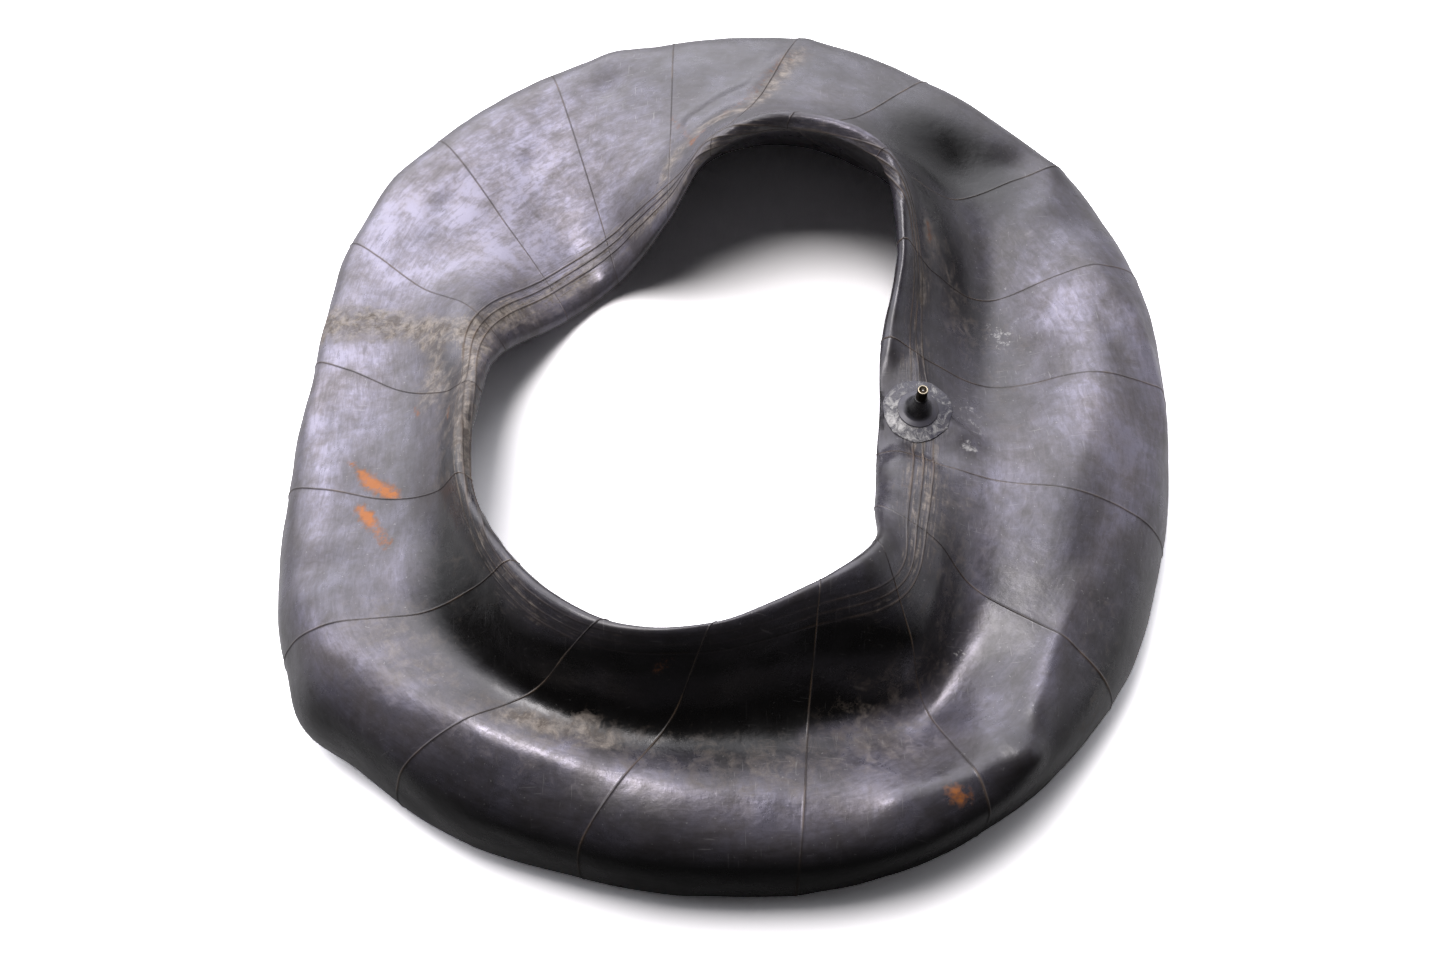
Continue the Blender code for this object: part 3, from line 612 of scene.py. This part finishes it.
def rubber_wear_group():
    """Handled rubber: mottled haze, dust that gathers in patches, fine scratches and moulding grain."""
    group = bpy.data.node_groups.new("rubber_wear", "ShaderNodeTree")
    for name, kind in (("Vector", "NodeSocketVector"), ("Rubber", "NodeSocketColor"),
                       ("Haze Colour", "NodeSocketColor"), ("Dull Colour", "NodeSocketColor"),
                       ("Dust Colour", "NodeSocketColor"),
                       ("Haze", "NodeSocketFloat"), ("Dust", "NodeSocketFloat")):
        group.interface.new_socket(name, in_out="INPUT", socket_type=kind)
    for name, kind in (("Color", "NodeSocketColor"), ("Roughness", "NodeSocketFloat"),
                       ("Height", "NodeSocketFloat"), ("Film", "NodeSocketFloat")):
        group.interface.new_socket(name, in_out="OUTPUT", socket_type=kind)
    given = group.nodes.new("NodeGroupInput").outputs
    vector = given["Vector"]
    broad, clouds, strokes, lumps, fine, grain = (noise(group, vector, *setting) for setting in WEAR_NOISES)
    haze = math_node(group, "MULTIPLY", given["Haze"], span(group, clouds, 0.34, 0.66, 0.72, 1.2))
    haze = math_node(group, "MULTIPLY", haze, span(group, broad, 0.34, 0.62, 0.72, 1.15))
    haze = math_node(group, "MULTIPLY", haze, span(group, strokes, 0.34, 0.66, 0.8, 1.15), True)
    tint = math_node(group, "ADD", math_node(group, "MULTIPLY", clouds, 0.6),
                     math_node(group, "MULTIPLY", strokes, 0.4))
    film_colour = mix(group, span(group, tint, 0.40, 0.58), given["Dull Colour"], given["Haze Colour"])
    dusty = math_node(group, "ADD", given["Dust"], span(group, strokes, 0.3, 0.7, -0.6, 0.6))
    dusty = math_node(group, "MULTIPLY", span(group, dusty, 0.25, 1.15),
                      span(group, given["Dust"], 0.02, 0.25))
    colour = mix(group, haze, given["Rubber"], film_colour)
    colour = mix(group, dusty, colour, given["Dust Colour"])
    scratches = None
    for turn, stretch in SCRATCH_WAYS:
        way = add_node(group, "ShaderNodeMapping", {"Vector": vector, "Rotation": (0.3, 0.2, turn),
                                                    "Scale": stretch}).outputs[0]
        strand = span(group, noise(group, way, 1.0, 2, 0.5), 0.685, 0.73)
        scratches = strand if scratches is None else math_node(group, "MAXIMUM", scratches, strand)
    scratches = math_node(group, "MULTIPLY", scratches, span(group, broad, 0.42, 0.6))
    specks = span(group, noise(group, vector, 520, 1, 0.4), 0.735, 0.77)
    marks = math_node(group, "MULTIPLY", math_node(group, "MAXIMUM", scratches, specks),
                      span(group, given["Haze"], 0.0, 0.3, 0.06, 0.32))
    colour = mix(group, marks, colour, SCRATCH_COLOUR)
    rough = math_node(group, "ADD", span(group, clouds, 0.34, 0.66, 0.36, 0.22),
                      math_node(group, "MULTIPLY", dusty, 0.35))
    rough = math_node(group, "ADD", rough, math_node(group, "MULTIPLY", haze, 0.06))
    height = math_node(group, "ADD", math_node(group, "MULTIPLY", grain, 0.1),
                       math_node(group, "MULTIPLY", fine, 0.35))
    height = math_node(group, "ADD", height, math_node(group, "MULTIPLY", lumps, 1.0))
    result = group.nodes.new("NodeGroupOutput")
    film = math_node(group, "MULTIPLY", haze, span(group, dusty, 0, 0.6, 1, 0))
    for name, value in (("Color", colour), ("Roughness", rough), ("Height", height), ("Film", film)):
        group.links.new(value, result.inputs[name])
    return group


rubber_wear = rubber_wear_group()


def new_material(name):
    """A material with its tree, its Principled shader and its object coordinates."""
    made = bpy.data.materials.new(name)
    made.use_nodes = True
    tree = made.node_tree
    where = add_node(tree, "ShaderNodeTexCoord").outputs["Object"]
    return made, tree, tree.nodes["Principled BSDF"], where


def place_group(tree, group, values):
    """The outputs of a node group that is given these values or links."""
    return add_node(tree, "ShaderNodeGroup", values, node_tree=group).outputs


def raise_height(tree, shader, height, depth):
    """Bump the surface by a height socket, depth metres at height 1."""
    bump = add_node(tree, "ShaderNodeBump", {"Strength": 1.0, "Distance": depth, "Height": height})
    tree.links.new(bump.outputs[0], shader.inputs["Normal"])


BUTYL = (0.003, 0.0026, 0.0024, 1)
BUTYL_HAZE = (0.295, 0.28, 0.345, 1)
BUTYL_DULL = (0.262, 0.236, 0.25, 1)
ROAD_DUST, DRY_DUST = (0.10, 0.078, 0.06, 1), (0.33, 0.285, 0.24, 1)
FILM_SHEEN = 0.85
RUST_STAIN, OLD_RUST = (0.44, 0.13, 0.008, 1), (0.20, 0.075, 0.025, 1)
CHALK_WHITE = (0.56, 0.55, 0.53, 1)
LINE_BROWN = (0.026, 0.018, 0.013, 1)
LINE_TAN = (0.14, 0.095, 0.06, 1)
BUTYL_IOR, BUTYL_SPECULAR, BUTYL_BUMP = 1.6, 0.6, 0.0003

butyl, tree, shader, where = new_material("used_butyl")
lanes = add_node(tree, "ShaderNodeUVMap", uv_map="lanes").outputs[0]
streak_way = add_node(tree, "ShaderNodeMapping", {"Vector": lanes, "Scale": (22, 420, 1)}).outputs[0]
streaks = noise(tree, streak_way, 1.0, 5, 0.65, 0.4)
band = attribute(tree, "rim_band")
broad_dust = span(tree, noise(tree, where, 7, 4, 0.6), 0.42, 0.68, 0.0, 0.09)
band_dust = math_node(tree, "MULTIPLY", band, span(tree, streaks, 0.46, 0.62, 0.0, 0.9))
# The painted dust also lightens the shaded underside of the rim's lip, as painted light.
loose_dust_and_lip_light = math_node(tree, "ADD", attribute(tree, "dust_and_lip_light"), broad_dust)
all_dust_and_lip_light = math_node(tree, "ADD", loose_dust_and_lip_light, band_dust, True)
dryness = math_node(tree, "MULTIPLY", span(tree, noise(tree, where, 120, 6, 0.72, 0.4), 0.42, 0.60),
                    span(tree, all_dust_and_lip_light, 0.15, 0.6))
dust_colour = mix(tree, dryness, ROAD_DUST, DRY_DUST)
brush_way = add_node(tree, "ShaderNodeMapping", {"Vector": lanes, "Scale": (70, 230, 1)}).outputs[0]
brushed = span(tree, noise(tree, brush_way, 1.0, 5, 0.68, 0.8), 0.36, 0.64, 0.78, 1.2)
# The film share carries painted sheen, highlights and shade as well as real bloom.
film_and_light_share = math_node(tree, "MULTIPLY", attribute(tree, "bloom_and_painted_light"), brushed)
worn = place_group(tree, rubber_wear, {"Vector": where, "Rubber": BUTYL, "Haze Colour": BUTYL_HAZE,
                                       "Dull Colour": BUTYL_DULL, "Dust Colour": dust_colour,
                                       "Haze": film_and_light_share, "Dust": all_dust_and_lip_light})
ragged = noise(tree, where, 200, 6, 0.72, 0.4)


def ragged_mask(painted, low, high):
    """A painted spot with an edge broken up by noise, and nothing where nothing is painted."""
    broken = math_node(tree, "ADD", painted, span(tree, ragged, 0.3, 0.7, -0.5, 0.5))
    return math_node(tree, "MULTIPLY", span(tree, broken, low, high), span(tree, painted, 0.05, 0.3))


stain = ragged_mask(attribute(tree, "stain"), 0.2, 0.8)
rust_colour = mix(tree, span(tree, attribute(tree, "stain"), 0.45, 0.85), OLD_RUST, RUST_STAIN)
chalk = math_node(tree, "MULTIPLY", ragged_mask(attribute(tree, "chalk"), 0.5, 0.8), 0.7)
line_colour = mix(tree, span(tree, noise(tree, where, 26, 4, 0.65), 0.45, 0.62), LINE_BROWN, LINE_TAN)
lines = math_node(tree, "MAXIMUM", math_node(tree, "MULTIPLY", attribute(tree, "mould_line"), 0.75),
                  math_node(tree, "MULTIPLY", attribute(tree, "rim_ridge"), 0.7))
colour = mix(tree, stain, worn["Color"], rust_colour)
colour = mix(tree, chalk, colour, CHALK_WHITE)
colour = mix(tree, lines, colour, line_colour)
covered = math_node(tree, "MAXIMUM", math_node(tree, "MAXIMUM", stain, chalk), lines)
sheen = math_node(tree, "MULTIPLY", worn["Film"], span(tree, covered, 0, 1, FILM_SHEEN, 0))
tree.links.new(colour, shader.inputs["Base Color"])
tree.links.new(math_node(tree, "ADD", worn["Roughness"], math_node(tree, "MULTIPLY", covered, 0.3), True),
               shader.inputs["Roughness"])
tree.links.new(sheen, shader.inputs["Metallic"])
streak_height = math_node(tree, "MULTIPLY", math_node(tree, "MULTIPLY", band, streaks), 2.0)
skin_height = math_node(tree, "ADD", worn["Height"], streak_height)
shader.inputs["IOR"].default_value = BUTYL_IOR
shader.inputs["Specular IOR Level"].default_value = BUTYL_SPECULAR
raise_height(tree, shader, skin_height, BUTYL_BUMP)
tube_skin.data.materials.append(butyl)
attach(tube_skin, "tube")
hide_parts("tube_body")

# Base patch
# A disc of reinforcing rubber cured on round the valve. Its edge is thinned and a little lifted, and
# chalky residue has dried on it.
TURN_STEPS = 96
valve_right = np.cross((0.0, 1.0, 0.0), VALVE_AXIS)
valve_right /= np.linalg.norm(valve_right)
valve_back = np.cross(VALVE_AXIS, valve_right)


def on_valve(radius, angle, height):
    """Points at a radius, angle and height above the valve's seat, in mm in the object's frame."""
    across = np.cos(angle)[..., None] * valve_right + np.sin(angle)[..., None] * valve_back
    return VALVE_SEAT + radius[..., None] * across + height[..., None] * VALVE_AXIS


def rounded_profile(corners, per_side):
    """A closed outline of radius and height through corners, each straight side split evenly."""
    ends = np.roll(corners, -1, 0)
    share = (np.arange(per_side) / per_side)[None, :, None]
    return (corners[:, None] * (1 - share) + ends[:, None] * share).reshape(-1, 2)


PATCH_R, PATCH_T, PATCH_HOLE, FLANGE_R = 26.0, 2.7, 2.7, 15.0
# Turned clockwise, so that the faces of closed_grid point outwards.
angle = np.linspace(0, -2 * math.pi, TURN_STEPS, endpoint=False)[:, None]
PATCH_OUTLINE = np.array([(PATCH_HOLE, 0.35), (PATCH_R, 0.3), (PATCH_R - 0.3, 0.9), (PATCH_R - 2.5, 1.3),
                          (FLANGE_R + 3, PATCH_T - 0.3), (FLANGE_R, PATCH_T), (PATCH_HOLE, PATCH_T)])
patch_outline = rounded_profile(PATCH_OUTLINE, 6)
patch_r, patch_z = patch_outline[None, :, 0], patch_outline[None, :, 1]
outward = np.clip((patch_r - FLANGE_R) / (PATCH_R - FLANGE_R), 0, 1)
patch_wobble = 0.5 * np.sin(3 * angle + 0.6) + 0.3 * np.sin(7 * angle) + 0.2 * np.sin(11 * angle + 2)
patch_rise = 0.25 * np.sin(5 * angle + 1) * outward * (patch_z > 0.5)
patch_edge = patch_r + (patch_wobble - 0.6) * outward
base_patch = closed_grid("base_patch_skin", on_valve(patch_edge, angle + 0 * patch_r, patch_z + patch_rise))
PATCH_RUBBER = (0.035, 0.034, 0.037, 1)
PATCH_HAZE = (0.085, 0.083, 0.105, 1)
PATCH_DUST = (0.24, 0.22, 0.19, 1)
RESIDUE_SIDE = math.radians(215)
paint(base_patch, "residue", 0.35 + 0.65 * np.cos((angle - RESIDUE_SIDE) / 2)**4 + 0 * patch_r)
patch_paint, tree, shader, where = new_material("chalky_patch")
worn = place_group(tree, rubber_wear, {"Vector": where, "Rubber": PATCH_RUBBER, "Haze Colour": PATCH_HAZE,
                                       "Dull Colour": PATCH_HAZE, "Dust Colour": PATCH_DUST,
                                       "Haze": 0.8, "Dust": 0.15})
dried = math_node(tree, "ADD", noise(tree, where, 170, 8, 0.8, 0.8),
                  span(tree, attribute(tree, "residue"), 0, 1, -0.10, 0.08))
residue = span(tree, dried, 0.48, 0.63)
colour = mix(tree, math_node(tree, "MULTIPLY", residue, 0.85), worn["Color"], CHALK_WHITE)
tree.links.new(colour, shader.inputs["Base Color"])
tree.links.new(worn["Roughness"], shader.inputs["Roughness"])
raise_height(tree, shader, math_node(tree, "ADD", worn["Height"], residue), 0.0002)
base_patch.data.materials.append(patch_paint)
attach(base_patch, "tube")
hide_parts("base_patch")

# Valve stem
# Black rubber moulded over the brass insert: a flange that is cured to the patch, a waist, and a
# stem that tapers to the thread.
STEM_OUTLINE = np.array([(3.3, 21.0), (3.3, 3.9), (2.7, 3.9), (2.7, 3.0), (FLANGE_R, 3.0), (FLANGE_R, 3.5),
                         (13.4, 4.0), (10.6, 4.9), (8.6, 7.0), (7.2, 9.6), (6.2, 13.0), (5.4, 17.0),
                         (4.95, 20.2), (4.6, 20.8), (4.2, 21.0)])
STEM_BLACK, STEM_DULL = (0.008, 0.008, 0.008, 1), (0.09, 0.085, 0.085, 1)
STEM_DUST = (0.2, 0.18, 0.15, 1)
stem_outline = rounded_profile(STEM_OUTLINE, 3)
stem_r, stem_z = stem_outline[None, :, 0], stem_outline[None, :, 1]
stem_points = on_valve(stem_r + 0 * angle, angle + 0 * stem_r, stem_z + 0 * angle)
valve_stem = closed_grid("valve_stem_skin", stem_points)
stem_paint, tree, shader, where = new_material("stem_rubber")
flange_film = 0.1 + 0.9 * (1 - fade(stem_r, 8.5, 12.0))
paint(valve_stem, "film", flange_film + 0 * angle)
worn = place_group(tree, rubber_wear, {"Vector": where, "Rubber": STEM_BLACK, "Haze Colour": PATCH_HAZE,
                                       "Dull Colour": STEM_DULL, "Dust Colour": STEM_DUST,
                                       "Haze": attribute(tree, "film"), "Dust": 0.06})
tree.links.new(worn["Color"], shader.inputs["Base Color"])
tree.links.new(worn["Roughness"], shader.inputs["Roughness"])
raise_height(tree, shader, worn["Height"], 0.00008)
valve_stem.data.materials.append(stem_paint)
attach(valve_stem, "tube")
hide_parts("valve_stem")

# Stem insert
# A turned brass tube with a fine cap thread on its end and a tapered seat inside for the core. It is
# tarnished, and bright only on the mouth's edge.
THREAD_R, THREAD_PITCH, THREAD_DEPTH, THREAD_ROWS = 3.85, 0.794, 0.42, 90
THREAD_FOOT, THREAD_TOP = 22.4, 32.4
BEFORE_THREAD = np.array([(2.75, 33.0), (2.75, 24.6), (2.0, 22.6), (2.0, 4.2), (3.0, 4.2), (3.0, 21.3),
                          (THREAD_R, 21.3), (THREAD_R, THREAD_FOOT)])
AFTER_THREAD = np.array([(3.5, 33.0)])
thread_z = np.linspace(THREAD_FOOT, THREAD_TOP, THREAD_ROWS)
thread_part = np.stack([np.full(THREAD_ROWS, THREAD_R), thread_z], -1)
insert_outline = np.concatenate([BEFORE_THREAD, thread_part, AFTER_THREAD])
outline_r, outline_z = insert_outline[None, :, 0], insert_outline[None, :, 1]
on_thread = np.zeros(outline_r.shape[1])
on_thread[len(BEFORE_THREAD):-len(AFTER_THREAD)] = np.sin(np.linspace(0, math.pi, THREAD_ROWS))**0.3
turns = outline_z / THREAD_PITCH - angle / (2 * math.pi)
groove = np.abs(2 * (turns - np.floor(turns)) - 1)
insert_r = outline_r - THREAD_DEPTH * groove * on_thread[None, :]
insert_points = on_valve(insert_r, angle + 0 * outline_r, outline_z + 0 * angle)
stem_insert = closed_grid("stem_insert_turned", insert_points)


def worn_metal(name, metal, tarnish, tarnish_share, roughness, polished=None):
    """Turned metal with dull patches where it has oxidised, and none where the piece is painted polished."""
    made, tree, shader, where = new_material(name)
    edge = 0.5 - 0.5 * tarnish_share
    patches = span(tree, noise(tree, where, 900, 5, 0.65), edge, edge + 0.25)
    if polished:
        patches = math_node(tree, "MULTIPLY", patches, span(tree, attribute(tree, polished), 0, 1, 1, 0))
    tree.links.new(mix(tree, patches, metal, tarnish), shader.inputs["Base Color"])
    tree.links.new(span(tree, patches, 0, 1, roughness, roughness + 0.25), shader.inputs["Roughness"])
    shader.inputs["Metallic"].default_value = 1.0
    raise_height(tree, shader, noise(tree, where, 4000, 2, 0.5), 0.00001)
    return made


BRASS, BRASS_TARNISH = (0.76, 0.66, 0.48, 1), (0.035, 0.03, 0.025, 1)
paint(stem_insert, "mouth", 0.75 * (outline_z > 32.6) + 0 * angle)
insert_brass = worn_metal("tarnished_brass", BRASS, BRASS_TARNISH, 0.9, 0.28, "mouth")
stem_insert.data.materials.append(insert_brass)
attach(stem_insert, "tube")
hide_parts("stem_insert")

# Valve core
# Brass swivel and barrel, a steel pin and its spring, and black seals, all inside the stem. Only the
# swivel's end and the pin's tip show in the mouth.
# The core's brass is darker than the insert's, partly from tarnish and partly as painted shade inside the
# stem.
SHADED_CORE_BRASS, CORE_TARNISH = (0.34, 0.26, 0.15, 1), (0.05, 0.04, 0.03, 1)
PIN_PLATING, PIN_TARNISH = (0.82, 0.81, 0.78, 1), (0.4, 0.38, 0.35, 1)
SEAL_BLACK, SEAL_HAZE, SEAL_DUST = (0.02, 0.02, 0.02, 1), (0.05, 0.05, 0.05, 1), (0.1, 0.1, 0.1, 1)
core_brass = worn_metal("core_brass", SHADED_CORE_BRASS, CORE_TARNISH, 0.8, 0.3)
pin_steel = worn_metal("pin_steel", PIN_PLATING, PIN_TARNISH, 0.1, 0.2)
seal_paint, tree, shader, where = new_material("seal_rubber")
worn = place_group(tree, rubber_wear, {"Vector": where, "Rubber": SEAL_BLACK, "Haze Colour": SEAL_HAZE,
                                       "Dull Colour": SEAL_HAZE, "Dust Colour": SEAL_DUST,
                                       "Haze": 0.3, "Dust": 0.0})
tree.links.new(worn["Color"], shader.inputs["Base Color"])
tree.links.new(worn["Roughness"], shader.inputs["Roughness"])
raise_height(tree, shader, worn["Height"], 0.00003)
for finish, nodes in ((core_brass, ("core_swivel", "core_barrel", "plunger_cup")),
                      (pin_steel, ("core_pin",)),
                      (seal_paint, ("barrel_gasket", "plunger_seal"))):
    for node in nodes:
        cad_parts[node].data.materials.clear()
        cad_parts[node].data.materials.append(finish)

# Core spring
# Fine plated steel wire, wound as an open coil round the pin. It stands on the barrel's ledge and
# carries the pin's collar.
COIL_R, COIL_WIRE, COIL_TURNS, COIL_STEPS, WIRE_SIDES = 0.85, 0.15, 8, 24, 8
COIL_FOOT, COIL_TOP, PRESSED_SHARE = 18.2, 26.0, 0.85
coil_turn = np.linspace(0, COIL_TURNS, COIL_TURNS * COIL_STEPS + 1)[:, None]
wire_side = np.linspace(0, 2 * math.pi, WIRE_SIDES, endpoint=False)[None, :]
coil_height = COIL_FOOT + (COIL_TOP - COIL_FOOT) * coil_turn / COIL_TURNS
coil_points = on_valve(COIL_R + COIL_WIRE * np.cos(wire_side) + 0 * coil_turn,
                       2 * math.pi * coil_turn + 0 * wire_side,
                       coil_height + COIL_WIRE * np.sin(wire_side))
coil_index = np.arange(coil_points.shape[0] * WIRE_SIDES).reshape(-1, WIRE_SIDES)
coil_quads = np.stack([coil_index[:-1], coil_index[1:], np.roll(coil_index[1:], -1, 1),
                       np.roll(coil_index[:-1], -1, 1)], -1).reshape(-1, 4)
coil_mesh = bpy.data.meshes.new("core_spring_coil")
coil_mesh.from_pydata((coil_points * MM).reshape(-1, 3).tolist(), [],
                      coil_quads.tolist() + [coil_index[0].tolist(), coil_index[-1][::-1].tolist()])
coil_mesh.shade_smooth()
core_spring = bpy.data.objects.new("core_spring_coil", coil_mesh)
scene.collection.objects.link(core_spring)
coil_mesh.materials.append(pin_steel)
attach(core_spring, "core")
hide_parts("core_spring")
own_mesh(core_spring)
